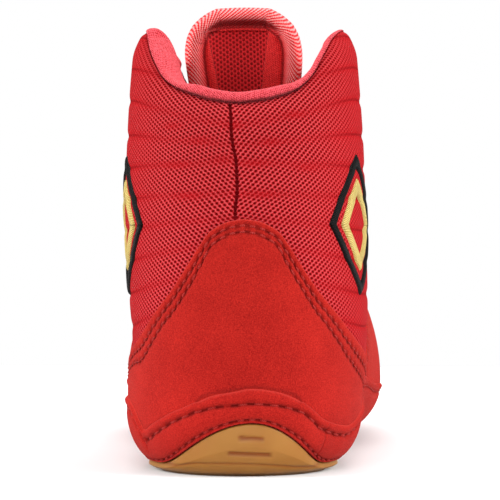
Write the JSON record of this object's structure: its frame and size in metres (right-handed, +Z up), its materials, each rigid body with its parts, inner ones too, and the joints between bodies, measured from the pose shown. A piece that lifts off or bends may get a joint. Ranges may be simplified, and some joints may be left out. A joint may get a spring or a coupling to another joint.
{
  "type": "boxing shoe",
  "caption": "Right ankle-high boxing shoe: padded mesh upper, suede heel counter and rand, open laced throat and tongue, on a thin gum sole that cups the heel.",
  "frame": {"origin": "centre of the shoe's bounding box, on the floor under the sole", "axes": "+Y from heel to toe, +X to the lateral (outer) side of this right shoe, +Z up"},
  "size_m": [0.1026, 0.2872, 0.1594],
  "materials": {
    "gum_rubber": "satin",
    "insole_board": "matte",
    "mesh": "matte",
    "jersey": "matte",
    "suede": "matte",
    "lace_cord": "matte"
  },
  "bodies": {
    "root": {"outsole": "gum_rubber", "insole": "insole_board", "upper": "mesh", "tongue": "jersey", "toe_overlay": "suede", "heel_counter": "suede", "rand": "suede", "eyestay": "suede", "collar_roll": "jersey", "lace": "lace_cord"}
  },
  "joints": []
}
